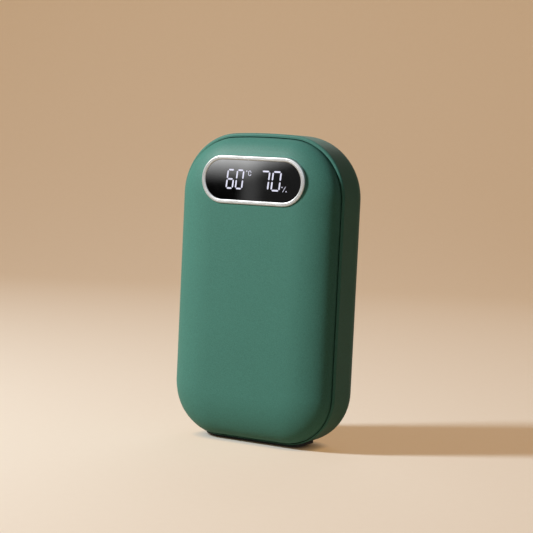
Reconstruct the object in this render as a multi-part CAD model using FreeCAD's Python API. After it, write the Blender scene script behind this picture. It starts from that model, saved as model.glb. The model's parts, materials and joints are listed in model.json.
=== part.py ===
import FreeCAD
import Part
import math
import os

Vector = FreeCAD.Vector

# Rechargeable hand warmer, in millimetres.
# +Z is up, the front face looks towards -Y, and the origin is on the floor under the middle of the body.

# Body outline and depths, measured from the seam between the shells
body_width = 62.0
body_height = 104.0
top_corner_radius = 21.0
bottom_corner_radius = 18.0
top_bow_radius = 200.0
front_depth = 6.6
rear_depth = 18.4
front_core_radius = 2.55
front_drop = 0.45
back_edge_radius = 8.0
rim_edge_radius = 0.7

# Shell walls and the seam
front_wall = 1.8
rear_wall = 2.2
rim_lip = 0.75
reveal_gap = 0.3
rim_depth = 1.5
seal_thickness = 0.5
seal_clearance = 0.1

# Snap hooks of the front shell
hook_width = 7.0
hook_thickness = 1.1
hook_reach = 3.6
hook_root = 1.5
hook_margin = 8.0
barb_height = 1.2
barb_catch = 0.6
snap_clearance = 0.15

# Foot under the rear shell
foot_length = 38.8
foot_width = 8.8
foot_setback = 0.3
foot_corner_radius = 2.0
foot_proud = 0.9
foot_recess = 0.8
foot_clearance = 0.1

# Display ring, its pocket in the front shell, and the lens
bezel_width = 39.3
bezel_height = 16.1
bezel_drop = 16.0
bezel_ring = 1.38
bezel_proud = 0.5
bezel_edge_radius = 0.4
bezel_groove_width = 0.24
bezel_groove_depth = 0.14
bezel_pocket_depth = 2.6
bezel_clearance = 0.08
frame_wall = 2.0
frame_ledge = 1.0
lens_recess = 0.3
lens_thickness = 1.2
lens_clearance = 0.05
lens_seat = 1.0
lens_tape_thickness = 0.15

# Readout: seven-segment digits, sizes between the middle lines of the strokes
digit_height = 6.15
stroke = 0.55
segment_gap = 0.2
digit_slant = 5.5
readout_lift = 0.2
temperature_digits = "60"
temperature_digit_width = 2.4
temperature_digit_pitch = 3.6
temperature_centre = -6.72
charge_digits = "70"
charge_digit_width = 2.95
charge_digit_pitch = 4.3
charge_centre = 6.9
unit_height = 1.75
unit_width = 1.1
unit_stroke = 0.2
degree_centre_x = -2.3
celsius_centre_x = -1.1
celsius_lift = 2.4
percent_centre_x = 12.15
percent_lift = -2.35
percent_width = 2.0
unit_well_margin = 0.3

# Display module behind the lens
reflector_depth = 4.2
reflector_clearance = 0.3
display_board_thickness = 1.0
display_board_margin = 1.0
led_size = 0.4
led_height = 0.3
pin_diameter = 0.6
pin_pitch = 2.54
pins_per_row = 5
pin_row_offset = 4.6
pin_tail = 1.0

# Main board and its screws
board_thickness = 1.2
board_clearance = 0.5
board_margin = 1.5
boss_radius = 2.4
boss_inset = 9.5
boss_margin = 4.5
upper_boss_lift = 5.0
pilot_radius = 0.85
pilot_depth = 6.0
screw_hole_radius = 1.1
screw_head_radius = 1.9
screw_head_height = 1.3
screw_slot_width = 0.5
screw_slot_depth = 0.6

# Power button in the left side wall, and the switch behind it
button_drop = 10.0
button_length = 12.0
button_width = 4.6
button_sink = 0.15
button_edge_radius = 0.5
button_clearance = 0.2
button_travel = 0.4
flange_overlap = 1.0
flange_thickness = 0.8
flange_gap = 0.1
notch_clearance = 0.3
well_length = 17.0
well_width = 6.6
well_depth = 0.8
well_flare = 0.7
plunger_length = 3.0
plunger_width = 1.4
plunger_reach = 1.0
plunger_depth = 0.8
plunger_clearance = 0.15
switch_length = 4.0
switch_width = 6.0

# Charging inlet in the left side wall, below the button
port_spacing = 15.0
port_sink = 0.6
port_clearance = 0.2
port_flare = 0.5
usb_width = 8.94
usb_height = 3.16
usb_length = 7.35
usb_wall = 0.3
usb_base_depth = 1.5
tongue_width = 6.7
tongue_thickness = 0.7
tongue_sink = 0.9

# Chips and other components on the front of the main board
controller_size = 6.0
controller_height = 0.9
charger_length = 5.0
charger_width = 4.0
charger_height = 1.5
charger_offset = -12.0
inductor_size = 7.0
inductor_height = 4.0
inductor_offset = 14.0
inductor_chamfer = 1.2
capacitor_length = 1.6
capacitor_width = 0.8
capacitor_pitch = 2.2
capacitor_count = 4
capacitor_offset = 7.0

# Heaters, and the foam pads that press them outwards
spreader_thickness = 0.6
heater_thickness = 0.25
foam_thickness = 1.5
pad_margin = 1.0
pad_clearance = 0.6
sensor_length = 2.0
sensor_width = 1.2
sensor_height = 0.9
sensor_offset = 8.0

# Battery pack
cell_side_room = 4.0
cell_clearance = 0.5
cell_headroom = 4.5
cell_corner_radius = 3.0
cell_tape_thickness = 0.4
tab_rise = 1.1
tab_width = 4.0
tab_thickness = 0.5
tab_offset = 10.0
protection_length = 30.0
protection_margin = 2.0
protection_thickness = 0.8
rail_clearance = 0.3
rail_thickness = 1.2
rail_lift = 4.0

# Leads, plug and socket
lead_diameter = 1.2
lead_pitch = 2.0
lead_bend = 2.0
lead_straight = 0.8
lead_room = 4.4
plug_length = 7.0
plug_height = 2.6
plug_depth = 3.6
plug_offset = 8.0
socket_height = 6.0
socket_depth = 4.6
heater_lead_diameter = 1.0
heater_lead_pitch = 3.0
heater_lead_edge = 2.25
heater_lead_bend = 2.4
heater_lead_inset = 1.8
heater_lead_climb = 9.0

# Directions closer than this count as parallel, and points as one
angle_tolerance = 1e-6
length_tolerance = 1e-6

# Planes and places that follow from the sizes above
half_width = body_width / 2
front_step = rim_lip + reveal_gap
front_run = bottom_corner_radius - front_step - front_core_radius
z_bottom = foot_proud
z_top = z_bottom + body_height
y_back = (bezel_proud + front_depth + rear_depth) / 2
y_seam = y_back - rear_depth
y_front = y_seam - front_depth
y_bezel = y_front - bezel_proud
y_ledge = y_seam + rim_depth
y_skirt = y_ledge - seal_thickness
y_back_inner = y_back - rear_wall
y_front_inner = y_front + front_wall
y_side = (y_seam + y_back - back_edge_radius) / 2
y_foot = y_ledge + foot_setback + foot_width / 2

z_window = z_top - bezel_drop
y_pocket = y_front + bezel_pocket_depth
y_frame = y_pocket + frame_ledge
y_lens = y_bezel + lens_recess
y_lens_back = y_lens + lens_thickness
y_lens_seat = y_lens_back + lens_tape_thickness
lens_opening_width = bezel_width - 2 * bezel_ring
lens_opening_height = bezel_height - 2 * bezel_ring
light_opening_width = lens_opening_width - 2 * lens_seat
light_opening_height = lens_opening_height - 2 * lens_seat
reflector_width = light_opening_width - 2 * reflector_clearance
reflector_height = light_opening_height - 2 * reflector_clearance
y_display_board = y_lens_back + reflector_depth
y_display_back = y_display_board + display_board_thickness

y_board = y_side + usb_height / 2
y_board_back = y_board + board_thickness
z_button = z_top - top_corner_radius - button_drop
z_port = z_button - port_spacing
z_board_bottom = z_port - usb_width / 2 - board_margin
board_half_width = half_width - rear_wall - board_clearance
boss_x = board_half_width - boss_inset
z_boss_low = z_board_bottom + boss_margin
z_boss_high = z_top - top_corner_radius + upper_boss_lift
z_hook_low = z_bottom + bottom_corner_radius + hook_margin
z_hook_high = z_port - usb_width / 2 - hook_margin
hook_inset = rear_wall + snap_clearance

x_side = -half_width
x_wall_inner = x_side + rear_wall
x_flange = x_wall_inner + flange_gap
x_flange_inner = x_flange + flange_thickness
x_switch = x_flange_inner + plunger_reach
flange_length = button_length + 2 * flange_overlap
flange_width = button_width + 2 * flange_overlap
x_port = x_side + port_sink

y_front_heater = y_front_inner + spreader_thickness
y_front_foam = y_front_heater + heater_thickness
y_front_cell = y_front_foam + foam_thickness
y_rear_heater = y_back_inner - spreader_thickness
y_rear_foam = y_rear_heater - heater_thickness
y_rear_cell_back = y_rear_foam - foam_thickness
cell_thickness = (y_rear_cell_back - y_front_cell - cell_tape_thickness) / 2
y_front_cell_back = y_front_cell + cell_thickness
y_rear_cell = y_front_cell_back + cell_tape_thickness
z_pad_top = z_boss_low - boss_radius - pad_clearance
z_cell_top = z_board_bottom - cell_headroom
z_protection = z_cell_top + tab_rise
z_protection_top = z_protection + protection_thickness
y_lead = y_board - socket_depth / 2
z_lead_low = z_protection_top + lead_bend + lead_straight
z_lead_high = z_lead_low + lead_pitch
z_plug = z_lead_high + lead_bend + lead_straight
z_socket = z_plug + plug_height


# Shared shapes


def block(x0, x1, y0, y1, z0, z1):
    """Box between two corners."""
    return Part.makeBox(x1 - x0, y1 - y0, z1 - z0, Vector(x0, y0, z0))


def block_about(x, z, x_size, z_size, y0, y1):
    """Box around a middle in the front plane, between two depths."""
    return block(x - x_size / 2, x + x_size / 2, y0, y1, z - z_size / 2, z + z_size / 2)


def cylinder(x, y0, y1, z, radius):
    """Round bar along Y."""
    return Part.makeCylinder(radius, y1 - y0, Vector(x, y0, z), Vector(0, 1, 0))


def spoke(angle):
    """Unit vector in the front plane, turned from +X towards +Z."""
    return Vector(math.cos(math.radians(angle)), 0, math.sin(math.radians(angle)))


def arcs():
    """Arcs of the body outline as centre, radius, first and last angle, from the upper right leftwards."""
    top_x = half_width - top_corner_radius
    bottom_x = half_width - bottom_corner_radius
    bottom_z = z_bottom + bottom_corner_radius
    bow_z = z_top - top_bow_radius
    bow_reach = top_bow_radius - top_corner_radius
    top_z = bow_z + math.sqrt(bow_reach ** 2 - top_x ** 2)
    bow_angle = math.degrees(math.acos(top_x / bow_reach))
    return [
        (Vector(top_x, 0, top_z), top_corner_radius, 0, bow_angle),
        (Vector(0, 0, bow_z), top_bow_radius, bow_angle, 180 - bow_angle),
        (Vector(-top_x, 0, top_z), top_corner_radius, 180 - bow_angle, 180),
        (Vector(-bottom_x, 0, bottom_z), bottom_corner_radius, 180, 270),
        (Vector(bottom_x, 0, bottom_z), bottom_corner_radius, 270, 360),
    ]


def arc_pairs():
    """Each arc with the one that follows it round the outline."""
    ring = arcs()
    return zip(ring, ring[1:] + ring[:1])


def straight_run(arc, following):
    """Vector along the straight side between two arcs, which is nothing where they meet."""
    centre, radius, first, last = arc
    next_centre, next_radius, next_first, next_last = following
    return next_centre - centre + spoke(next_first) * (next_radius - radius)


def outline(inset, y):
    """Body outline, moved in by the inset, in the plane y."""
    edges = []
    for arc, following in arc_pairs():
        centre, radius, first, last = arc
        turns = (first, (first + last) / 2, last)
        points = [centre + spoke(turn) * (radius - inset) + Vector(0, y, 0) for turn in turns]
        edges.append(Part.Arc(*points).toShape())
        run = straight_run(arc, following)
        if run.Length > length_tolerance:
            edges.append(Part.LineSegment(points[-1], points[-1] + run).toShape())
    return Part.Wire(edges)


def slab(inset, y0, y1):
    """Body-shaped plate between two planes."""
    return Part.Face(outline(inset, y0)).extrude(Vector(0, y1 - y0, 0))


def rolled_section(arc, inset, run, rise, y_mouth, y_face):
    """Cut across the wall at the start of an arc: straight from the mouth, then a quarter ellipse."""
    centre, radius, first, last = arc
    outer = centre + spoke(first) * (radius - inset)
    inner = centre + spoke(first) * (radius - inset - run)
    y_spring = y_face + math.copysign(rise, y_mouth - y_face)
    mouth_inner = inner + Vector(0, y_mouth, 0)
    mouth_outer = outer + Vector(0, y_mouth, 0)
    spring = outer + Vector(0, y_spring, 0)
    face_edge = inner + Vector(0, y_face, 0)
    roll = Part.BezierCurve()
    roll.setPoles([spring, outer + Vector(0, y_face, 0), face_edge])
    roll.setWeight(2, math.sqrt(0.5))
    edges = [
        Part.LineSegment(mouth_inner, mouth_outer).toShape(),
        Part.LineSegment(mouth_outer, spring).toShape(),
        roll.toShape(),
        Part.LineSegment(face_edge, mouth_inner).toShape(),
    ]
    return Part.Face(Part.Wire(edges))


def pillow(inset, run, rise, y_mouth, y_face):
    """Body-shaped solid from its mouth to its face, with the edge of the face rolled over."""
    pieces = []
    for arc, following in arc_pairs():
        centre, radius, first, last = arc
        section = rolled_section(arc, inset, run, rise, y_mouth, y_face)
        pieces.append(section.revolve(centre, Vector(0, -1, 0), last - first))
        side = straight_run(arc, following)
        if side.Length > length_tolerance:
            turned = section.rotated(centre, Vector(0, -1, 0), last - first)
            pieces.append(turned.extrude(side))
    return slab(inset + run, y_mouth, y_face).fuse(pieces).removeSplitter()


def lowered(shape):
    """Shape moved down with the front shell, which sits a little low in the rim."""
    return shape.translated(Vector(0, 0, -front_drop))


def facing_front(y, z_mid):
    """Places lengths along X and widths along Z, in the plane y."""
    return lambda u, v: Vector(u, y, z_mid + v)


def facing_left(x, z_mid):
    """Places lengths along Z and widths along Y, in the plane x of the left wall."""
    return lambda u, v: Vector(x, y_side + v, z_mid + u)


def stadium_wire(length, width, at):
    """Oblong outline with round ends."""
    end = width / 2
    flat = length / 2 - end
    return Part.Wire([
        Part.LineSegment(at(-flat, -end), at(flat, -end)).toShape(),
        Part.Arc(at(flat, -end), at(flat + end, 0), at(flat, end)).toShape(),
        Part.LineSegment(at(flat, end), at(-flat, end)).toShape(),
        Part.Arc(at(-flat, end), at(-flat - end, 0), at(-flat, -end)).toShape(),
    ])


def front_stadium(length, width, y0, y1):
    """Oblong block around the middle of the display."""
    return Part.Face(stadium_wire(length, width, facing_front(y0, z_window))).extrude(Vector(0, y1 - y0, 0))


def side_stadium(length, width, x0, x1, z_mid):
    """Oblong block through the left wall."""
    return Part.Face(stadium_wire(length, width, facing_left(x0, z_mid))).extrude(Vector(x1 - x0, 0, 0))


def flared_mouth(length, width, depth, flare, z_mid):
    """Oblong recess in the left wall, wider all round by the flare where it meets the outside."""
    floor = stadium_wire(length, width, facing_left(x_side + depth, z_mid))
    growth = 2 * (2 * flare)
    outside = stadium_wire(length + growth, width + growth, facing_left(x_side - depth, z_mid))
    return Part.makeLoft([outside, floor], True, True)


def wall_block(side, along, width, outer_inset, inner_inset, y0, y1):
    """Block beside the left, right or top wall, between two distances in from the outline."""
    low = along - width / 2
    high = along + width / 2
    if side == "top":
        return block(low, high, y0, y1, z_top - inner_inset, z_top - outer_inset)
    if side == "right":
        return block(half_width - inner_inset, half_width - outer_inset, y0, y1, low, high)
    return block(outer_inset - half_width, inner_inset - half_width, y0, y1, low, high)


def first_edges(shape, axis):
    """Edges of the flat face that comes first along the axis."""
    return min(shape.Faces, key=lambda face: face.CenterOfMass.dot(axis)).Edges


def edges_along(shape, axis):
    """Straight edges that run along the axis."""
    lines = [edge for edge in shape.Edges if isinstance(edge.Curve, Part.Line)]
    return [edge for edge in lines if edge.Curve.Direction.cross(axis).Length < angle_tolerance]


def bent_tube(points, bend_radius, diameter):
    """Round lead through the points, with a tangent arc at each inner one."""
    edges = []
    start = points[0]
    for before, corner, after in zip(points, points[1:], points[2:]):
        back = (before - corner).normalize()
        ahead = (after - corner).normalize()
        half_turn = (math.pi - back.getAngle(ahead)) / 2
        trim = bend_radius * math.tan(half_turn)
        inside = (back + ahead).normalize() * (bend_radius / math.cos(half_turn) - bend_radius)
        edges.append(Part.LineSegment(start, corner + back * trim).toShape())
        edges.append(Part.Arc(corner + back * trim, corner + inside, corner + ahead * trim).toShape())
        start = corner + ahead * trim
    edges.append(Part.LineSegment(start, points[-1]).toShape())
    ring = Part.Wire(Part.makeCircle(diameter / 2, points[0], points[1] - points[0]))
    return Part.Wire(edges).makePipeShell([ring], True, False)


def front_inset(y):
    """Distance of the front shell's inner face from the body outline, in the plane y."""
    rise = (y_seam - y) / (front_depth - front_wall)
    return front_step + front_run - (front_run - front_wall) * math.sqrt(1 - rise ** 2)


def floor_height(x, inset):
    """Height of the lower body outline, moved in by the inset, at the distance x from the middle."""
    radius = bottom_corner_radius - inset
    past_corner = max(x - (half_width - bottom_corner_radius), 0)
    return z_bottom + inset + radius - math.sqrt(radius ** 2 - past_corner ** 2)


cell_half_width = half_width - front_inset(y_front_cell) - cell_side_room
z_cell_bottom = floor_height(cell_half_width, front_inset(y_front_cell)) + cell_clearance
front_pad_half_width = half_width - front_step - front_run - pad_margin
z_front_pad_bottom = z_bottom + front_step + front_run + pad_margin
rear_pad_half_width = cell_half_width - pad_margin
z_rear_pad_bottom = floor_height(rear_pad_half_width, back_edge_radius) + pad_clearance
x_heater_leads = heater_lead_edge - front_pad_half_width
x_heater_leads_end = x_heater_leads + (heater_lead_pitch + heater_lead_diameter) / 2
x_lead_start = x_heater_leads_end + lead_room + (lead_pitch + lead_diameter) / 2


# Shells


def hooks():
    """Side and place along the wall of each snap hook."""
    sides = [(side, z) for side in ("left", "right") for z in (z_hook_low, z_hook_high)]
    return sides + [("top", 0)]


def front_form():
    """Outside of the front shell, filled."""
    return lowered(pillow(front_step, front_run, front_depth, y_skirt, y_front))


def front_shell():
    hollow_run = front_run - front_wall
    hollow_rise = front_depth - front_wall
    hollow = lowered(pillow(front_step + front_wall, hollow_run, hollow_rise, y_ledge, y_front_inner))
    form = front_form()
    frame_growth = 2 * (bezel_clearance + frame_wall)
    frame = front_stadium(bezel_width + frame_growth, bezel_height + frame_growth, y_front, y_frame)
    shell = form.cut(hollow).fuse(frame.common(form))
    y_tip = y_ledge + hook_reach
    for side, along in hooks():
        inner = hook_inset + hook_thickness
        outer = hook_inset - barb_catch
        tab = wall_block(side, along, hook_width, hook_inset, inner, y_skirt - hook_root, y_tip)
        barb = wall_block(side, along, hook_width, outer, hook_inset, y_tip - barb_height, y_tip)
        shell = shell.fuse([tab, barb])
    pocket_growth = 2 * bezel_clearance
    pocket = front_stadium(bezel_width + pocket_growth, bezel_height + pocket_growth, y_bezel, y_pocket)
    opening = front_stadium(light_opening_width, light_opening_height, y_bezel, y_frame)
    return shell.cut([pocket, opening]).removeSplitter()


def rear_form():
    """Outside of the rear shell, filled."""
    body = pillow(0, back_edge_radius, back_edge_radius, y_seam, y_back)
    rim = pillow(0, rim_edge_radius, rim_edge_radius, y_back, y_seam)
    return body.common(rim)


def boss_places():
    """Middle of each screw boss behind the main board."""
    return [(x, z) for x in (-boss_x, boss_x) for z in (z_boss_low, z_boss_high)]


def battery_rails():
    """Ribs on the inside of the back that keep the cells in the middle."""
    near = cell_half_width + rail_clearance
    far = near + rail_thickness
    z_low = z_cell_bottom + rail_lift
    left = block(-far, -near, y_rear_cell, y_back, z_low, z_cell_top)
    right = block(near, far, y_rear_cell, y_back, z_low, z_cell_top)
    return [left, right]


def foot_plan(growth, z_low):
    """Upright block with the outline of the foot."""
    half_length = foot_length / 2 + growth
    half_depth = foot_width / 2 + growth
    z_high = z_bottom + bottom_corner_radius
    plan = block(-half_length, half_length, y_foot - half_depth, y_foot + half_depth, z_low, z_high)
    return plan.makeFillet(foot_corner_radius + growth, edges_along(plan, Vector(0, 0, 1)))


def rear_shell():
    radius = back_edge_radius - rear_wall
    hollow = pillow(rear_wall, radius, radius, y_front, y_back_inner)
    rebate = lowered(slab(rim_lip, y_front, y_ledge))
    form = rear_form()
    bosses = [cylinder(x, y_board_back, y_back, z, boss_radius) for x, z in boss_places()]
    ribs = [rib.common(form) for rib in bosses + battery_rails()]
    shell = form.cut([hollow, rebate]).fuse(ribs)
    cuts = [cylinder(x, y_board_back, y_board_back + pilot_depth, z, pilot_radius) for x, z in boss_places()]
    y_tip = y_ledge + hook_reach
    for side, along in hooks():
        outer = hook_inset - barb_catch - snap_clearance
        width = hook_width + 2 * snap_clearance
        y_low = y_tip - barb_height - snap_clearance
        cuts.append(wall_block(side, along, width, outer, hook_inset, y_low, y_tip + snap_clearance))
    foot_space = foot_plan(foot_clearance, 0)
    cuts.append(foot_space.cut(slab(foot_recess, y_front, y_back)))
    cuts.append(flared_mouth(well_length, well_width, well_depth, well_flare, z_button))
    hole_length = button_length + 2 * button_clearance
    hole_width = button_width + 2 * button_clearance
    cuts.append(side_stadium(hole_length, hole_width, x_side, x_wall_inner, z_button))
    port_length = usb_width + 2 * port_clearance
    port_width = usb_height + 2 * port_clearance
    cuts.append(flared_mouth(port_length, port_width, port_sink, port_flare, z_port))
    cuts.append(side_stadium(port_length, port_width, x_side, x_wall_inner, z_port))
    return shell.cut(cuts).removeSplitter()


def seam_seal():
    band = lowered(slab(rim_lip + seal_clearance, y_skirt, y_ledge))
    return band.cut(slab(rear_wall, y_skirt, y_ledge))


def base_foot():
    band = slab(-foot_proud, y_seam, y_back).cut(slab(foot_recess, y_seam, y_back))
    return band.common(foot_plan(0, 0))


# Display


def display_bezel():
    ring = front_stadium(bezel_width, bezel_height, y_bezel, y_pocket)
    ring = ring.cut(front_stadium(lens_opening_width, lens_opening_height, y_bezel, y_lens_seat))
    ring = ring.cut(front_stadium(light_opening_width, light_opening_height, y_bezel, y_pocket))
    ring = ring.makeFillet(bezel_edge_radius, first_edges(ring, Vector(0, 1, 0)))
    y_groove = y_bezel + bezel_groove_depth
    outer_growth = bezel_groove_width - bezel_ring
    inner_growth = -bezel_groove_width - bezel_ring
    groove = front_stadium(bezel_width + outer_growth, bezel_height + outer_growth, y_bezel, y_groove)
    core = front_stadium(bezel_width + inner_growth, bezel_height + inner_growth, y_bezel, y_groove)
    return ring.cut(groove.cut(core))


def lens_blank():
    """Lens before the readout is let into it."""
    growth = -2 * lens_clearance
    return front_stadium(lens_opening_width + growth, lens_opening_height + growth, y_lens, y_lens_back)


def lens_tape():
    growth = -2 * lens_clearance
    ring = front_stadium(lens_opening_width + growth, lens_opening_height + growth, y_lens_back, y_lens_seat)
    return ring.cut(front_stadium(light_opening_width, light_opening_height, y_lens_back, y_lens_seat))


def digit_point(x_mid, u, v, y):
    """Point of a leaning digit in the readout."""
    lean = v * math.tan(math.radians(digit_slant))
    return Vector(x_mid + u + lean, y, z_window + readout_lift + v)


def segment(x_mid, ends, y0, y1):
    """One pointed bar of a digit between two ends on its middle line."""
    (u0, v0), (u1, v1) = ends
    length = math.hypot(u1 - u0, v1 - v0)
    along = ((u1 - u0) / length, (v1 - v0) / length)
    across = (-along[1], along[0])
    half = stroke / 2
    tips = (segment_gap, length - segment_gap)
    path = [
        (tips[0], 0),
        (tips[0] + half, half),
        (tips[1] - half, half),
        (tips[1], 0),
        (tips[1] - half, -half),
        (tips[0] + half, -half),
        (tips[0], 0),
    ]
    points = []
    for reach, aside in path:
        u = u0 + along[0] * reach + across[0] * aside
        v = v0 + along[1] * reach + across[1] * aside
        points.append(digit_point(x_mid, u, v, y0))
    return Part.Face(Part.makePolygon(points)).extrude(Vector(0, y1 - y0, 0))


def digit(figure, x_mid, width, y0, y1):
    """Lit bars of one figure."""
    side = width / 2
    top = digit_height / 2
    bars = {
        "a": ((-side, top), (side, top)),
        "b": ((side, 0), (side, top)),
        "c": ((side, -top), (side, 0)),
        "d": ((-side, -top), (side, -top)),
        "e": ((-side, -top), (-side, 0)),
        "f": ((-side, 0), (-side, top)),
        "g": ((-side, 0), (side, 0)),
    }
    lit = {"0": "abcdef", "6": "acdefg", "7": "abc"}[figure]
    return [segment(x_mid, bars[name], y0, y1) for name in lit]


def all_digits(y0, y1):
    """Bars of the temperature and of the charge, with the figures of each side by side."""
    rows = [
        (temperature_digits, temperature_centre, temperature_digit_width, temperature_digit_pitch),
        (charge_digits, charge_centre, charge_digit_width, charge_digit_pitch),
    ]
    bars = []
    for figures, centre, width, pitch in rows:
        first = centre - pitch * (len(figures) - 1) / 2
        for place, figure in enumerate(figures):
            bars += digit(figure, first + place * pitch, width, y0, y1)
    return bars


def celsius_marks(y0, y1):
    """Degree dot and letter C."""
    z_mid = z_window + celsius_lift
    depth = Vector(0, y1 - y0, 0)

    def upright(u, v):
        return Vector(celsius_centre_x + v, y0, z_mid + u)

    outer = Part.Face(stadium_wire(unit_height, unit_width, upright)).extrude(depth)
    inner_height = unit_height - 2 * unit_stroke
    inner_width = unit_width - 2 * unit_stroke
    inner = Part.Face(stadium_wire(inner_height, inner_width, upright)).extrude(depth)
    gap = block_about(celsius_centre_x + unit_width / 2, z_mid, unit_width, 2 * unit_stroke, y0, y1)
    dot = cylinder(degree_centre_x, y0, y1, z_mid + unit_height / 2 - unit_stroke, unit_stroke)
    return [outer.cut([inner, gap]), dot]


def percent_marks(y0, y1):
    """Percent sign: a slanting bar between two dots."""
    z_mid = z_window + percent_lift
    half = unit_height / 2
    lean = percent_width / 4
    bar = [
        Vector(percent_centre_x - lean - unit_stroke / 2, y0, z_mid - half),
        Vector(percent_centre_x - lean + unit_stroke / 2, y0, z_mid - half),
        Vector(percent_centre_x + lean + unit_stroke / 2, y0, z_mid + half),
        Vector(percent_centre_x + lean - unit_stroke / 2, y0, z_mid + half),
    ]
    slash = Part.Face(Part.makePolygon(bar + bar[:1])).extrude(Vector(0, y1 - y0, 0))
    aside = percent_width / 2 - unit_stroke
    rise = half - unit_stroke
    upper = cylinder(percent_centre_x - aside, y0, y1, z_mid + rise, unit_stroke)
    lower = cylinder(percent_centre_x + aside, y0, y1, z_mid - rise, unit_stroke)
    return [slash, upper, lower]


def readout_prisms(y0, y1):
    """Every lit mark of the readout, as deep as asked."""
    return all_digits(y0, y1) + celsius_marks(y0, y1) + percent_marks(y0, y1)


def light_wells(y0, y1):
    """Wells of the light box: one behind each bar of a digit, and one behind each unit."""
    z_unit = z_window + celsius_lift
    z_percent = z_window + percent_lift
    half = unit_height / 2 + unit_well_margin
    celsius_left = degree_centre_x - unit_stroke - unit_well_margin / 2
    celsius_right = celsius_centre_x + unit_width / 2 + unit_well_margin
    percent_half = percent_width / 2 + unit_well_margin
    percent_left = percent_centre_x - percent_half + unit_well_margin / 2
    percent_right = percent_centre_x + percent_half
    celsius = block(celsius_left, celsius_right, y0, y1, z_unit - half, z_unit + half)
    percent = block(percent_left, percent_right, y0, y1, z_percent - half, z_percent + half)
    return all_digits(y0, y1) + [celsius, percent]


def display_lens():
    return lens_blank().cut(readout_prisms(y_lens, y_lens_back))


def readout_windows():
    return Part.makeCompound(readout_prisms(y_lens, y_lens_back))


def readout_reflector():
    body = front_stadium(reflector_width, reflector_height, y_lens_back, y_display_board)
    return body.cut(light_wells(y_lens_back, y_display_board))


def readout_leds():
    """One light at the bottom of each well."""
    y_top = y_display_board - led_height
    middles = [well.CenterOfMass for well in light_wells(y_lens_back, y_display_board)]
    lights = [block_about(at.x, at.z, led_size, led_size, y_top, y_display_board) for at in middles]
    return Part.makeCompound(lights)


def pin_bars(y0, y1):
    """Two rows of round pins behind the display."""
    first = -pin_pitch * (pins_per_row - 1) / 2
    columns = [first + pin_pitch * place for place in range(pins_per_row)]
    rows = (z_window - pin_row_offset, z_window + pin_row_offset)
    return [cylinder(x, y0, y1, z, pin_diameter / 2) for x in columns for z in rows]


def display_board():
    width = reflector_width + 2 * display_board_margin
    height = reflector_height + 2 * display_board_margin
    board = front_stadium(width, height, y_display_board, y_display_back)
    return board.cut(pin_bars(y_display_board, y_display_back))


def display_pins():
    return Part.makeCompound(pin_bars(y_display_board, y_board_back + pin_tail))


# Main board and what it carries


def main_board():
    plate = slab(rear_wall + board_clearance, y_board, y_board_back)
    plate = plate.common(block(-half_width, half_width, y_board, y_board_back, z_board_bottom, z_top))
    cuts = [cylinder(x, y_board, y_board_back, z, screw_hole_radius) for x, z in boss_places()]
    cuts += pin_bars(y_board, y_board_back)
    x_notch = x_flange_inner + button_travel + notch_clearance
    half_notch = flange_length / 2 + notch_clearance
    cuts.append(block(x_side, x_notch, y_board, y_board_back, z_button - half_notch, z_button + half_notch))
    return plate.cut(cuts)


def board_screw(x, z):
    """Pan-head screw with a straight slot."""
    y_head = y_board - screw_head_height
    head = cylinder(x, y_head, y_board, z, screw_head_radius)
    shank = cylinder(x, y_board, y_board_back + pilot_depth, z, pilot_radius)
    half_slot = screw_slot_width / 2
    y_slot = y_head + screw_slot_depth
    slot = block(x - screw_head_radius, x + screw_head_radius, y_head, y_slot, z - half_slot, z + half_slot)
    return head.fuse(shank).cut(slot)


def board_screws():
    return Part.makeCompound([board_screw(x, z) for x, z in boss_places()])


def on_board(x, z, length, width, height):
    """Component standing on the front of the main board."""
    return block_about(x, z, length, width, y_board - height, y_board)


def controller_chip():
    return on_board(0, z_button, controller_size, controller_size, controller_height)


def charger_chip():
    return on_board(charger_offset, z_button, charger_length, charger_width, charger_height)


def power_inductor():
    body = on_board(inductor_offset, z_button, inductor_size, inductor_size, inductor_height)
    return body.makeChamfer(inductor_chamfer, edges_along(body, Vector(0, 1, 0)))


def board_capacitors():
    first = -capacitor_pitch * (capacitor_count - 1) / 2
    z = z_button - capacitor_offset
    places = [first + capacitor_pitch * place for place in range(capacitor_count)]
    chips = [on_board(x, z, capacitor_width, capacitor_length, capacitor_width) for x in places]
    return Part.makeCompound(chips)


def usb_shell():
    x_end = x_port + usb_length
    outside = side_stadium(usb_width, usb_height, x_port, x_end, z_port)
    inside = side_stadium(usb_width - 2 * usb_wall, usb_height - 2 * usb_wall, x_port, x_end, z_port)
    return outside.cut(inside)


def usb_tongue():
    x_end = x_port + usb_length
    x_base = x_end - usb_base_depth
    base = side_stadium(usb_width - 2 * usb_wall, usb_height - 2 * usb_wall, x_base, x_end, z_port)
    x_tip = x_port + tongue_sink
    y_low = y_side - tongue_thickness / 2
    x_mid = (x_tip + x_base) / 2
    blade = block_about(x_mid, z_port, x_base - x_tip, tongue_width, y_low, y_low + tongue_thickness)
    return base.fuse(blade).removeSplitter()


def plunger_bar(growth, x0, x1):
    """Bar along the plunger's path."""
    half_width_y = plunger_width / 2 + growth
    x_mid = (x0 + x1) / 2
    length = plunger_length + 2 * growth
    return block_about(x_mid, z_button, x1 - x0, length, y_side - half_width_y, y_side + half_width_y)


def switch_body():
    body = on_board(x_switch + switch_length / 2, z_button, switch_length, switch_width, usb_height)
    x_floor = x_switch + plunger_depth + button_travel + plunger_clearance
    return body.cut(plunger_bar(plunger_clearance, x_switch, x_floor))


def switch_plunger():
    return plunger_bar(0, x_flange_inner, x_switch + plunger_depth)


def power_button():
    x_face = x_side + button_sink
    cap = side_stadium(button_length, button_width, x_face, x_flange, z_button)
    cap = cap.makeFillet(button_edge_radius, first_edges(cap, Vector(1, 0, 0)))
    return cap.fuse(side_stadium(flange_length, flange_width, x_flange, x_flange_inner, z_button))


# Heaters and battery


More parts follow.
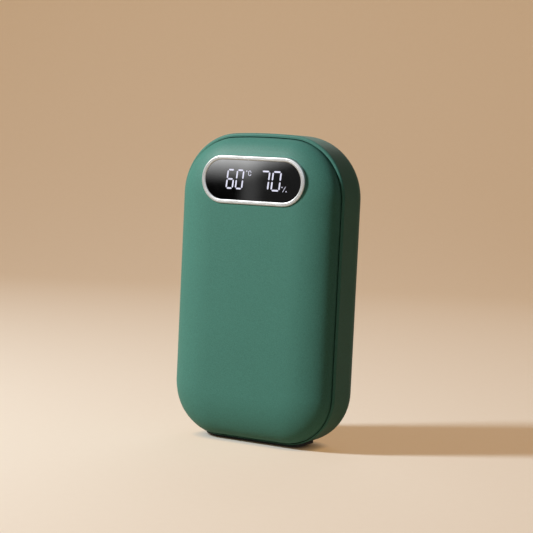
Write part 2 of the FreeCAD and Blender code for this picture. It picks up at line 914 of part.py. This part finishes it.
def front_pad(y0, y1, z_high):
    """Sheet on the flat inner face of the front shell."""
    return block(-front_pad_half_width, front_pad_half_width, y0, y1, z_front_pad_bottom, z_high)


def rear_pad(y0, y1, z_high):
    """Sheet on the flat inner face of the back."""
    return block(-rear_pad_half_width, rear_pad_half_width, y0, y1, z_rear_pad_bottom, z_high)


def cell(y0, y1):
    """Flat pouch cell with rounded corners."""
    body = block(-cell_half_width, cell_half_width, y0, y1, z_cell_bottom, z_cell_top)
    return body.makeFillet(cell_corner_radius, edges_along(body, Vector(0, 1, 0)))


def cell_tape():
    half = cell_half_width - cell_corner_radius
    z_low = z_cell_bottom + cell_corner_radius
    z_high = z_cell_top - cell_corner_radius
    return block(-half, half, y_front_cell_back, y_rear_cell, z_low, z_high)


def cell_tabs():
    """Two strips up from each cell."""
    z_mid = (z_cell_top + z_protection) / 2
    tabs = []
    for x in (-tab_offset, tab_offset):
        for y_cell in (y_front_cell, y_rear_cell):
            y_low = y_cell + (cell_thickness - tab_thickness) / 2
            tabs.append(block_about(x, z_mid, tab_width, tab_rise, y_low, y_low + tab_thickness))
    return Part.makeCompound(tabs)


def protection_board():
    half = protection_length / 2
    y_low = y_front_cell + protection_margin
    y_high = y_rear_cell_back - protection_margin
    return block(-half, half, y_low, y_high, z_protection, z_protection_top)


def battery_lead(x_start, x_end, z_run):
    """Lead from the protection board, along a run, and up into the plug."""
    points = [
        Vector(x_start, y_lead, z_protection_top),
        Vector(x_start, y_lead, z_run),
        Vector(x_end, y_lead, z_run),
        Vector(x_end, y_lead, z_plug),
    ]
    return bent_tube(points, lead_bend, lead_diameter)


def battery_lead_red():
    half = lead_pitch / 2
    return battery_lead(x_lead_start - half, plug_offset - half, z_lead_high)


def battery_lead_black():
    half = lead_pitch / 2
    return battery_lead(x_lead_start + half, plug_offset + half, z_lead_low)


def battery_plug():
    y_low = y_lead - plug_depth / 2
    z_mid = (z_plug + z_socket) / 2
    return block_about(plug_offset, z_mid, plug_length, plug_height, y_low, y_low + plug_depth)


def battery_socket():
    return on_board(plug_offset, z_socket + socket_height / 2, plug_length, socket_height, socket_depth)


def heater_leads(y_heater, y_land):
    """Two leads from a heater film, up and across to the main board."""
    z_start = z_pad_top - heater_lead_inset
    z_land = z_start + heater_lead_climb
    y_mid = (y_heater + y_land) / 2
    leads = []
    for aside in (-heater_lead_pitch / 2, heater_lead_pitch / 2):
        x = x_heater_leads + aside
        points = [
            Vector(x, y_heater, z_start),
            Vector(x, y_mid, z_start),
            Vector(x, y_mid, z_land),
            Vector(x, y_land, z_land),
        ]
        leads.append(bent_tube(points, heater_lead_bend, heater_lead_diameter))
    return Part.makeCompound(leads)


def temperature_sensor():
    z_mid = z_pad_top - heater_lead_inset
    y_top = y_front_foam + sensor_height
    return block_about(sensor_offset, z_mid, sensor_length, sensor_width, y_front_foam, y_top)


parts = {
    "front_shell": front_shell(),
    "rear_shell": rear_shell(),
    "seam_seal": seam_seal(),
    "base_foot": base_foot(),
    "display_bezel": display_bezel(),
    "display_lens": display_lens(),
    "lens_tape": lens_tape(),
    "readout_windows": readout_windows(),
    "readout_reflector": readout_reflector(),
    "readout_leds": readout_leds(),
    "display_board": display_board(),
    "display_pins": display_pins(),
    "main_board": main_board(),
    "board_screws": board_screws(),
    "controller_chip": controller_chip(),
    "charger_chip": charger_chip(),
    "power_inductor": power_inductor(),
    "board_capacitors": board_capacitors(),
    "usb_shell": usb_shell(),
    "usb_tongue": usb_tongue(),
    "switch_body": switch_body(),
    "switch_plunger": switch_plunger(),
    "power_button": power_button(),
    "front_spreader": front_pad(y_front_inner, y_front_heater, z_pad_top),
    "front_heater": front_pad(y_front_heater, y_front_foam, z_pad_top),
    "front_foam": front_pad(y_front_foam, y_front_cell, z_cell_top),
    "rear_spreader": rear_pad(y_rear_heater, y_back_inner, z_pad_top),
    "rear_heater": rear_pad(y_rear_foam, y_rear_heater, z_pad_top),
    "rear_foam": rear_pad(y_rear_cell_back, y_rear_foam, z_cell_top),
    "front_cell": cell(y_front_cell, y_front_cell_back),
    "rear_cell": cell(y_rear_cell, y_rear_cell_back),
    "cell_tape": cell_tape(),
    "cell_tabs": cell_tabs(),
    "protection_board": protection_board(),
    "battery_lead_red": battery_lead_red(),
    "battery_lead_black": battery_lead_black(),
    "battery_plug": battery_plug(),
    "battery_socket": battery_socket(),
    "front_heater_leads": heater_leads(y_front_foam, y_board),
    "rear_heater_leads": heater_leads(y_rear_foam, y_board_back),
    "temperature_sensor": temperature_sensor(),
}

os.makedirs("parts", exist_ok=True)
for name, shape in parts.items():
    shape.exportStep("parts/" + name + ".step")
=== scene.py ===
import json
import math

import bpy
from mathutils import Matrix, Vector


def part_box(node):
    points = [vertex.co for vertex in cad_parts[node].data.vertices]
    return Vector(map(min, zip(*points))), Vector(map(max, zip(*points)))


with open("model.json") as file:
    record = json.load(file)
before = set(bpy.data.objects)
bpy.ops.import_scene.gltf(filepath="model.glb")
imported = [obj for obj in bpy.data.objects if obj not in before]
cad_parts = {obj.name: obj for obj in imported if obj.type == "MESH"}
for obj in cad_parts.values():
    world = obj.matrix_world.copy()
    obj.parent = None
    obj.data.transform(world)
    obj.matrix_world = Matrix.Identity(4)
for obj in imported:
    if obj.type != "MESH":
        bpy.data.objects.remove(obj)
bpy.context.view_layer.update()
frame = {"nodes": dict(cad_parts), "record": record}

# Rechargeable hand warmer: looks, light and camera. Lengths are in metres, angles in degrees.
# +Z is up, the front face looks towards -Y, and an azimuth turns from the front towards +X.
mm = 0.001

# Camera
sensor_width = 36.0
image_size = 533
focal_pixels = 1500
view_azimuth = 29.257
view_elevation = 3.959
view_roll = 2.722
view_distance = 506.61 * mm
view_shift_right = 3.082 * mm
view_shift_up = 7.112 * mm
near_clip = 10 * mm

# Key lamp, and a large weak fill lamp behind the object
key_azimuth = -47.0
key_elevation = 34.5
key_distance = 0.8
key_size = 0.12
key_level = 1.20
key_colour = (1.0, 0.97, 0.93)
fill_azimuth = -160.0
fill_elevation = 40.0
fill_distance = 0.8
fill_size = 0.5
fill_level = 0.12
fill_colour = (1.0, 0.97, 0.93)
lamp_spread = 140.0

# Card that the camera sees in the lens, with a glow along its top and a haze across its right half
card_distance = 900 * mm
card_width = 104 * mm
card_height = 50 * mm
glow_radiance = 13.0
glow_top = 19 * mm
glow_fade = 24.5 * mm
glow_corner = -7.5 * mm
glow_slope = 0.4
haze_radiance = 1.15
haze_start = -14.5 * mm
haze_edge = 10 * mm
haze_fall = 12 * mm
haze_rest = 0.2

# Surroundings. The lift is a glow of the paper that only the camera and reflections see, and it fades
# within the contact reach of what stands there, as a painted contact shadow. The bounce is the paper's
# colour for all other light.
sky_light = (0.022, 0.021, 0.018)
sky_mirrored = (0.70, 0.71, 0.72)
sky_seen = (0.468, 0.301, 0.171)
floor_colour = (0.52, 0.59, 0.61)
floor_lift = (0.40, 0.225, 0.095)
floor_bounce = (0.45, 0.34, 0.20)
mirrored_share = 0.5
contact_reach = 4 * mm
floor_front = 4.0
floor_back = 0.62
floor_half_width = 4.0
cove_radius = 0.30
cove_steps = 24
wall_height = 1.6
paper_fibre = 3 * mm
paper_tones = (0.98, 1.02)
paper_roughness = 0.9

# Finishes. A pair is the least and the most, and a tone is a factor on the colour.
shell_colour = (0.059, 0.196, 0.164)
shell_cloud = 22 * mm
shell_grain = 0.38 * mm
shell_pores = 0.22 * mm
shell_pore_share = 0.5
shell_tones = (0.96, 1.04)
shell_grain_share = 0.65
shell_grain_tone = 1.45
# Rounded edges of the shell are painted lighter than the face: a painted highlight along the rims.
shell_edge = 0.4 * mm
shell_edge_highlight_share = 0.3
shell_edge_highlight_tone = 1.3
shell_roughness = (0.45, 0.51)
shell_refraction = 1.29
shell_relief = 0.05 * mm

rubber_bloom = 4 * mm
rubber_grain = 0.3 * mm
rubber_tones = (0.8, 1.4)
rubber_roughness = (0.6, 0.8)
rubber_relief = 0.02 * mm

bezel_colour = (0.69, 0.72, 0.74)
bezel_tones = (0.76, 1.14)
bezel_smear = 1.5 * mm
bezel_roughness = (0.40, 0.44)
bezel_relief = 0.0008 * mm
turned_line = 0.6 * mm

lens_colour = (0.0012, 0.0012, 0.0014)
lens_tones = (0.8, 1.2)
lens_haze = 6 * mm
lens_waves = 14 * mm
lens_roughness = (0.03, 0.05)
lens_refraction = 1.48
lens_relief = 0.004 * mm

readout_colour = (0.75, 0.75, 0.91)
readout_levels = (0.93, 1.05)
readout_grain = 0.5 * mm
readout_tones = (0.96, 1.0)
readout_unlit = 0.05
readout_roughness = 0.2

contact_colour = (0.80, 0.60, 0.28)
contact_pitch = 0.5 * mm
tongue_grain = 0.2 * mm
tongue_tones = (0.8, 1.3)
tongue_roughness = (0.3, 0.4)
tongue_relief = 0.005 * mm

metal_streak = 0.15 * mm
metal_stain = 3 * mm
metal_tones = (0.9, 1.05)
metal_swing = 0.06
metal_relief = 0.003 * mm
drawn_up = (1, 1, 0.05)
drawn_in = (0.05, 1, 1)

moulded_cloud = 5 * mm
moulded_tones = (0.9, 1.1)
moulded_grain_share = 0.15
moulded_grain_tone = 1.4
moulded_swing = 0.05

board_weave = 0.4 * mm
board_cell = 1.6 * mm
board_track = 0.8
board_tones = (0.9, 1.6)
board_roughness = (0.28, 0.4)
board_relief = 0.02 * mm

# Part of a noise's range that is used, and the match of normals at which an edge counts in full
noise_middle = (0.25, 0.75)
edge_match = 0.8

colours = {entry["slot"]: entry["base_color"] for entry in frame["record"]["materials"]}


# Node trees


def add(tree, kind, inputs=None, **settings):
    """Adds a node, sets its options, and fills its inputs with plain values or other nodes' outputs."""
    node = tree.nodes.new(kind)
    for key, value in settings.items():
        setattr(node, key, value)
    for key, value in (inputs or {}).items():
        if isinstance(value, bpy.types.NodeSocket):
            tree.links.new(value, node.inputs[key])
        else:
            node.inputs[key].default_value = value
    return node


def new_material(name):
    """Empty node material."""
    material = bpy.data.materials.new(name)
    material.use_nodes = True
    material.node_tree.nodes.clear()
    return material


def surface(material, inputs):
    """Ends a material in one principled shader."""
    shader = add(material.node_tree, "ShaderNodeBsdfPrincipled", inputs)
    add(material.node_tree, "ShaderNodeOutputMaterial", {"Surface": shader.outputs["BSDF"]})
    return material


def places(tree):
    """Position on the part, in metres."""
    return add(tree, "ShaderNodeTexCoord").outputs["Object"]


def combine(tree, operation, *values):
    """Result of one step of arithmetic on numbers or outputs."""
    return add(tree, "ShaderNodeMath", dict(enumerate(values)), operation=operation).outputs[0]


def noise(tree, size, detail=2.0, stretch=(1, 1, 1)):
    """Grain of the given size, between 0 and 1."""
    scaled = add(tree, "ShaderNodeMapping", {"Vector": places(tree), "Scale": stretch})
    inputs = {"Vector": scaled.outputs[0], "Scale": 1 / size, "Detail": detail}
    return add(tree, "ShaderNodeTexNoise", inputs).outputs[0]


def spread(tree, value, low, high):
    """Carries the middle half of a grain over to the range from low to high."""
    first, last = noise_middle
    inputs = {"Value": value, "From Min": first, "From Max": last, "To Min": low, "To Max": high}
    return add(tree, "ShaderNodeMapRange", inputs).outputs[0]


def ramp(tree, value, first, last, low, high, shape):
    """Goes from low to high while the value goes from first to last, and stays level outside."""
    inputs = {"Value": value, "From Min": first, "From Max": last, "To Min": low, "To Max": high}
    return add(tree, "ShaderNodeMapRange", inputs, interpolation_type=shape).outputs[0]


def blend(tree, share, first, second):
    """Colour between two others."""
    colour = add(tree, "ShaderNodeMix", data_type="RGBA")
    for socket, value in ((0, share), (6, first), (7, second)):
        if isinstance(value, bpy.types.NodeSocket):
            tree.links.new(value, colour.inputs[socket])
        else:
            colour.inputs[socket].default_value = value
    return colour.outputs[2]


def shade(colour, factor=1):
    """Colour made lighter or darker, with its alpha."""
    return tuple(min(channel * factor, 1) for channel in colour[:3]) + (1,)


def between_tones(tree, share, colour, tones):
    """Colour that goes from its first tone to its second."""
    first, second = tones
    return blend(tree, share, shade(colour, first), shade(colour, second))


def along(tree, vector, axis):
    """Length of a vector along an axis."""
    product = add(tree, "ShaderNodeVectorMath", {0: vector, 1: axis}, operation="DOT_PRODUCT")
    return product.outputs["Value"]


def relief(tree, height, depth):
    """Normal of a surface whose height varies by the given depth."""
    return add(tree, "ShaderNodeBump", {"Height": height, "Distance": depth}).outputs[0]


def edge_share(tree, radius):
    """Share of an edge near a point: 0 on a flat face, and up to 1 on a sharp edge."""
    rounded = add(tree, "ShaderNodeBevel", {"Radius": radius}).outputs[0]
    true_normal = add(tree, "ShaderNodeNewGeometry").outputs["Normal"]
    inputs = {"Value": along(tree, rounded, true_normal), "From Min": 1.0, "From Max": edge_match}
    return add(tree, "ShaderNodeMapRange", inputs).outputs[0]


# Finishes


def soft_touch_shell():
    """Matte green plastic with a fine spark-eroded grain, and a painted highlight that lightens its
    edges.
    """
    material = new_material("shell_green")
    tree = material.node_tree
    cloud = noise(tree, shell_cloud)
    grain = noise(tree, shell_grain)
    pores = noise(tree, shell_pores, detail=1)
    tone = between_tones(tree, spread(tree, cloud, 0, 1), shell_colour, shell_tones)
    raised = spread(tree, grain, 0, shell_grain_share)
    tone = blend(tree, raised, tone, shade(shell_colour, shell_grain_tone))
    # Painted highlight: the colour turns lighter on rounded edges.
    painted_edge_highlight = combine(tree, "MULTIPLY", edge_share(tree, shell_edge), shell_edge_highlight_share)
    tone = blend(tree, painted_edge_highlight, tone, shade(shell_colour, shell_edge_highlight_tone))
    height = combine(tree, "ADD", grain, combine(tree, "MULTIPLY", pores, shell_pore_share))
    return surface(material, {
        "Base Color": tone,
        "Roughness": spread(tree, grain, *shell_roughness),
        "IOR": shell_refraction,
        "Normal": relief(tree, height, shell_relief),
    })


def rubber(slot):
    """Dull dark rubber with a dusty bloom."""
    material = new_material(slot)
    tree = material.node_tree
    bloom = noise(tree, rubber_bloom, detail=4)
    grain = noise(tree, rubber_grain)
    return surface(material, {
        "Base Color": between_tones(tree, spread(tree, bloom, 0, 1), colours[slot], rubber_tones),
        "Roughness": spread(tree, grain, *rubber_roughness),
        "Normal": relief(tree, grain, rubber_relief),
    })


def across_ring(tree):
    """Distance from the middle line of the display, which follows the ring round its ends."""
    low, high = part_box("display_bezel")
    middle_z = (low.z + high.z) / 2
    end_radius = (high.z - low.z) / 2
    axes = add(tree, "ShaderNodeSeparateXYZ", {"Vector": places(tree)})
    beyond = combine(tree, "SUBTRACT", combine(tree, "ABSOLUTE", axes.outputs["X"]), high.x - end_radius)
    beyond = combine(tree, "MAXIMUM", beyond, 0)
    above = combine(tree, "SUBTRACT", axes.outputs["Z"], middle_z)
    beyond_square = combine(tree, "MULTIPLY", beyond, beyond)
    above_square = combine(tree, "MULTIPLY", above, above)
    return combine(tree, "SQRT", combine(tree, "ADD", beyond_square, above_square))


def polished_bezel():
    """Plated ring with fine lines turned along it."""
    material = new_material("bezel_metal")
    tree = material.node_tree
    phase = combine(tree, "MULTIPLY", across_ring(tree), 2 * math.pi / turned_line)
    lines = combine(tree, "SINE", phase)
    smear = noise(tree, bezel_smear, detail=3)
    return surface(material, {
        "Base Color": between_tones(tree, spread(tree, lines, 0, 1), bezel_colour, bezel_tones),
        "Metallic": 1.0,
        "Roughness": spread(tree, smear, *bezel_roughness),
        "Normal": relief(tree, lines, bezel_relief),
    })


def glossy_lens():
    """Black window with a faint haze."""
    material = new_material("lens_black")
    tree = material.node_tree
    haze = noise(tree, lens_haze, detail=3)
    return surface(material, {
        "Base Color": between_tones(tree, spread(tree, haze, 0, 1), lens_colour, lens_tones),
        "Roughness": spread(tree, haze, *lens_roughness),
        "IOR": lens_refraction,
        "Normal": relief(tree, noise(tree, lens_waves), lens_relief),
    })


def lit_readout():
    """Lit windows, each a little brighter or dimmer than the next."""
    material = new_material("readout_white")
    tree = material.node_tree
    each = add(tree, "ShaderNodeNewGeometry").outputs["Random Per Island"]
    dimmest, brightest = readout_levels
    inputs = {"Value": each, "To Min": dimmest, "To Max": brightest}
    return surface(material, {
        "Base Color": shade(readout_colour, readout_unlit),
        "Roughness": readout_roughness,
        "Emission Color": between_tones(tree, noise(tree, readout_grain), readout_colour, readout_tones),
        "Emission Strength": add(tree, "ShaderNodeMapRange", inputs).outputs[0],
    })


def contact_tongue():
    """Black tongue with a row of gilt contacts along its tip."""
    material = new_material("tongue_black")
    tree = material.node_tree
    low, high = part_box("usb_tongue")
    axes = add(tree, "ShaderNodeSeparateXYZ", {"Vector": places(tree)})
    phase = combine(tree, "MULTIPLY", axes.outputs["Z"], 2 * math.pi / contact_pitch)
    stripe = combine(tree, "GREATER_THAN", combine(tree, "SINE", phase), 0)
    tip = combine(tree, "LESS_THAN", axes.outputs["X"], low.x + (high.x - low.x) / 2)
    contact = combine(tree, "MULTIPLY", stripe, tip)
    grain = noise(tree, tongue_grain)
    plastic = between_tones(tree, grain, colours["tongue_black"], tongue_tones)
    return surface(material, {
        "Base Color": blend(tree, contact, plastic, shade(contact_colour)),
        "Metallic": contact,
        "Roughness": spread(tree, grain, *tongue_roughness),
        "Normal": relief(tree, grain, tongue_relief),
    })


def metal(slot, roughness, stretch):
    """Plated or rolled metal, with streaks drawn out along one axis."""
    material = new_material(slot)
    tree = material.node_tree
    streaks = noise(tree, metal_streak, detail=3, stretch=stretch)
    stain = noise(tree, metal_stain, detail=3)
    return surface(material, {
        "Base Color": between_tones(tree, spread(tree, stain, 0, 1), colours[slot], metal_tones),
        "Metallic": 1.0,
        "Roughness": spread(tree, streaks, roughness - metal_swing, roughness + metal_swing),
        "Normal": relief(tree, streaks, metal_relief),
    })


def moulded(slot, roughness, grain, depth):
    """Plastic, ceramic, film or foam with an even grain of the given size and depth."""
    material = new_material(slot)
    tree = material.node_tree
    cloud = noise(tree, moulded_cloud)
    grains = noise(tree, grain, detail=3)
    tone = between_tones(tree, spread(tree, cloud, 0, 1), colours[slot], moulded_tones)
    share = spread(tree, grains, 0, moulded_grain_share)
    return surface(material, {
        "Base Color": blend(tree, share, tone, shade(colours[slot], moulded_grain_tone)),
        "Roughness": spread(tree, grains, roughness - moulded_swing, roughness + moulded_swing),
        "Normal": relief(tree, grains, depth),
    })


def printed_board(slot):
    """Solder mask over a grid of copper tracks."""
    material = new_material(slot)
    tree = material.node_tree
    weave = noise(tree, board_weave)
    inputs = {"Vector": places(tree), "Scale": 1 / board_cell}
    cells = add(tree, "ShaderNodeTexVoronoi", inputs, distance="MANHATTAN", feature="F2")
    track = combine(tree, "GREATER_THAN", cells.outputs["Distance"], board_track)
    return surface(material, {
        "Base Color": between_tones(tree, track, colours[slot], board_tones),
        "Roughness": spread(tree, weave, *board_roughness),
        "Normal": relief(tree, combine(tree, "ADD", track, weave), board_relief),
    })


finishes = {
    "shell_green": soft_touch_shell(),
    "seal_rubber": rubber("seal_rubber"),
    "foot_rubber": rubber("foot_rubber"),
    "bezel_metal": polished_bezel(),
    "lens_black": glossy_lens(),
    "tape_black": moulded("tape_black", roughness=0.7, grain=0.5 * mm, depth=0.03 * mm),
    "readout_white": lit_readout(),
    "light_box_white": moulded("light_box_white", roughness=0.5, grain=0.4 * mm, depth=0.01 * mm),
    "led_yellow": moulded("led_yellow", roughness=0.25, grain=0.3 * mm, depth=0.01 * mm),
    "board_green": printed_board("board_green"),
    "pin_brass": metal("pin_brass", roughness=0.25, stretch=drawn_in),
    "screw_steel": metal("screw_steel", roughness=0.3, stretch=drawn_up),
    "chip_black": moulded("chip_black", roughness=0.55, grain=0.2 * mm, depth=0.01 * mm),
    "inductor_grey": moulded("inductor_grey", roughness=0.6, grain=0.35 * mm, depth=0.02 * mm),
    "capacitor_tan": moulded("capacitor_tan", roughness=0.35, grain=0.2 * mm, depth=0.005 * mm),
    "inlet_steel": metal("inlet_steel", roughness=0.26, stretch=drawn_in),
    "tongue_black": contact_tongue(),
    "plunger_white": moulded("plunger_white", roughness=0.4, grain=0.3 * mm, depth=0.01 * mm),
    "spreader_metal": metal("spreader_metal", roughness=0.32, stretch=drawn_up),
    "heater_film": moulded("heater_film", roughness=0.35, grain=0.8 * mm, depth=0.01 * mm),
    "foam_grey": moulded("foam_grey", roughness=0.9, grain=0.6 * mm, depth=0.1 * mm),
    "cell_pouch": metal("cell_pouch", roughness=0.38, stretch=drawn_up),
    "tab_nickel": metal("tab_nickel", roughness=0.28, stretch=drawn_up),
    "lead_red": moulded("lead_red", roughness=0.4, grain=0.4 * mm, depth=0.01 * mm),
    "lead_black": moulded("lead_black", roughness=0.4, grain=0.4 * mm, depth=0.01 * mm),
    "lead_white": moulded("lead_white", roughness=0.4, grain=0.4 * mm, depth=0.01 * mm),
    "connector_cream": moulded("connector_cream", roughness=0.4, grain=0.3 * mm, depth=0.01 * mm),
}

for node in frame["nodes"].values():
    slot = node.material_slots[0]
    slot.material = finishes[slot.material.name]


# Stage


def direction(azimuth, elevation):
    """Unit vector away from the object."""
    turn = math.radians(azimuth)
    lift = math.radians(elevation)
    return Vector((math.sin(turn) * math.cos(lift), -math.cos(turn) * math.cos(lift), math.sin(lift)))


def body_middle():
    """Middle of the body's outline, in the plane where the shells meet."""
    low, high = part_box("rear_shell")
    return Vector(((low.x + high.x) / 2, low.y, (low.z + high.z) / 2))


def sheet_mesh(name, rows):
    """Smooth sheet through rows of points."""
    columns = len(rows[0])
    points = [point for row in rows for point in row]
    faces = []
    for row in range(len(rows) - 1):
        for column in range(columns - 1):
            first = row * columns + column
            faces.append((first, first + 1, first + columns + 1, first + columns))
    mesh = bpy.data.meshes.new(name)
    mesh.from_pydata(points, [], faces)
    mesh.shade_smooth()
    sheet = bpy.data.objects.new(name, mesh)
    bpy.context.scene.collection.objects.link(sheet)
    return sheet


def paper_backdrop():
    """Pale paper from the floor up a cove to a wall behind the object, square to the camera."""
    away = -direction(view_azimuth, 0)
    aside = Vector((-away.y, away.x, 0))
    profile = [(-floor_front, 0)]
    for step in range(cove_steps + 1):
        turn = math.pi / 2 * step / cove_steps
        profile.append((floor_back + cove_radius * math.sin(turn), cove_radius * (1 - math.cos(turn))))
    profile.append((floor_back + cove_radius, wall_height))
    rows = []
    for reach, height in profile:
        middle = away * reach + Vector((0, 0, height))
        rows.append([middle - aside * floor_half_width, middle + aside * floor_half_width])
    backdrop = sheet_mesh("backdrop", rows)
    material = new_material("backdrop_paper")
    tree = material.node_tree
    tone = between_tones(tree, noise(tree, paper_fibre, detail=4), floor_colour, paper_tones)
    path = add(tree, "ShaderNodeLightPath")
    mirrored = combine(tree, "MULTIPLY", path.outputs["Is Glossy Ray"], mirrored_share)
    seen = combine(tree, "MAXIMUM", path.outputs["Is Camera Ray"], mirrored)
    # Painted contact shadow: the paper's glow is dimmed where ambient occlusion finds something close.
    unshaded_share = add(tree, "ShaderNodeAmbientOcclusion", {"Distance": contact_reach}).outputs["AO"]
    backdrop.data.materials.append(surface(material, {
        "Base Color": blend(tree, seen, shade(floor_bounce), tone),
        "Roughness": paper_roughness,
        "Emission Color": shade(floor_lift),
        "Emission Strength": combine(tree, "MULTIPLY", seen, unshaded_share),
    }))


def lens_mirror_line():
    """Middle of the lens, and the direction in which the camera sees its reflection."""
    low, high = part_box("display_lens")
    middle = Vector(((low.x + high.x) / 2, low.y, (low.z + high.z) / 2))
    towards = middle - camera_place()
    towards.y = -towards.y
    return middle, towards.normalized()


def reflected_card():
    """Dark card that the camera sees in the lens, with a glow that fades downwards and a haze."""
    middle, towards = lens_mirror_line()
    centre = middle + towards * card_distance
    right = Vector((-towards.y, towards.x, 0)).normalized()
    up = Vector((0, 0, 1))
    run = right * card_width / 2
    rise = up * card_height / 2
    lower = [centre - run - rise, centre + run - rise]
    upper = [centre - run + rise, centre + run + rise]
    card = sheet_mesh("reflected_card", [lower, upper])
    card.visible_camera = False
    material = new_material("reflected_light")
    tree = material.node_tree
    inputs = {0: places(tree), 1: centre}
    offset = add(tree, "ShaderNodeVectorMath", inputs, operation="SUBTRACT").outputs[0]
    across = along(tree, offset, right)
    height = along(tree, offset, up)
    beyond = combine(tree, "MAXIMUM", combine(tree, "SUBTRACT", across, glow_corner), 0)
    level = combine(tree, "SUBTRACT", height, combine(tree, "MULTIPLY", beyond, glow_slope))
    fade = ramp(tree, level, glow_top - glow_fade, glow_top, 0, 1, "LINEAR")
    glow = combine(tree, "MULTIPLY", combine(tree, "MULTIPLY", fade, fade), glow_radiance)
    veil = ramp(tree, across, haze_start, haze_start + haze_edge, 0, haze_radiance, "SMOOTHSTEP")
    fall = ramp(tree, across, 0, haze_fall, 1, haze_rest, "SMOOTHSTEP")
    haze = combine(tree, "MULTIPLY", veil, fall)
    emission = add(tree, "ShaderNodeEmission", {"Strength": combine(tree, "ADD", glow, haze)})
    add(tree, "ShaderNodeOutputMaterial", {"Surface": emission.outputs[0]})
    card.data.materials.append(material)


def soft_lamp(name, azimuth, elevation, distance, size, level, colour):
    """Round soft lamp. At level 1 a white card that faces it at the object comes out white."""
    lamp = bpy.data.lights.new(name, "AREA")
    lamp.shape = "DISK"
    lamp.size = size
    lamp.color = colour
    lamp.spread = math.radians(lamp_spread)
    half_spread = lamp.spread / 2
    beam_gain = math.tan(half_spread) / (math.tan(half_spread) - half_spread)
    lamp.energy = level * math.pi ** 2 * distance ** 2 / beam_gain
    holder = bpy.data.objects.new(name, lamp)
    towards = direction(azimuth, elevation)
    holder.location = body_middle() + towards * distance
    holder.rotation_mode = "QUATERNION"
    holder.rotation_quaternion = towards.to_track_quat("Z", "Y")
    holder.visible_camera = False
    bpy.context.scene.collection.objects.link(holder)


def surroundings():
    """Faint light from all round. Shiny surfaces mirror it as a pale room, and the camera sees tan."""
    world = bpy.data.worlds.new("surroundings")
    world.use_nodes = True
    tree = world.node_tree
    tree.nodes.clear()
    path = add(tree, "ShaderNodeLightPath")
    colour = blend(tree, path.outputs["Is Glossy Ray"], shade(sky_light), shade(sky_mirrored))
    colour = blend(tree, path.outputs["Is Camera Ray"], colour, shade(sky_seen))
    background = add(tree, "ShaderNodeBackground", {"Color": colour})
    add(tree, "ShaderNodeOutputWorld", {"Surface": background.outputs[0]})
    bpy.context.scene.world = world


def camera_axes():
    """Right, up and back of the camera."""
    back = direction(view_azimuth, view_elevation)
    level = Vector((math.cos(math.radians(view_azimuth)), math.sin(math.radians(view_azimuth)), 0))
    upright = back.cross(level)
    roll = math.radians(view_roll)
    right = level * math.cos(roll) + upright * math.sin(roll)
    up = upright * math.cos(roll) - level * math.sin(roll)
    return right, up, back


def camera_place():
    """Point from which the photograph was taken."""
    right, up, back = camera_axes()
    return body_middle() + back * view_distance + right * view_shift_right + up * view_shift_up


def photograph_camera():
    """Camera at the photograph's place and angle."""
    data = bpy.data.cameras.new("photograph")
    data.sensor_width = sensor_width
    data.lens = sensor_width * focal_pixels / image_size
    data.clip_start = near_clip
    camera = bpy.data.objects.new("photograph", data)
    turned = Matrix(camera_axes()).transposed().to_4x4()
    camera.matrix_world = Matrix.Translation(camera_place()) @ turned
    bpy.context.scene.collection.objects.link(camera)
    bpy.context.scene.camera = camera


paper_backdrop()
reflected_card()
soft_lamp("key", key_azimuth, key_elevation, key_distance, key_size, key_level, key_colour)
soft_lamp("fill", fill_azimuth, fill_elevation, fill_distance, fill_size, fill_level, fill_colour)
surroundings()
photograph_camera()
bpy.context.scene.view_settings.view_transform = "Standard"
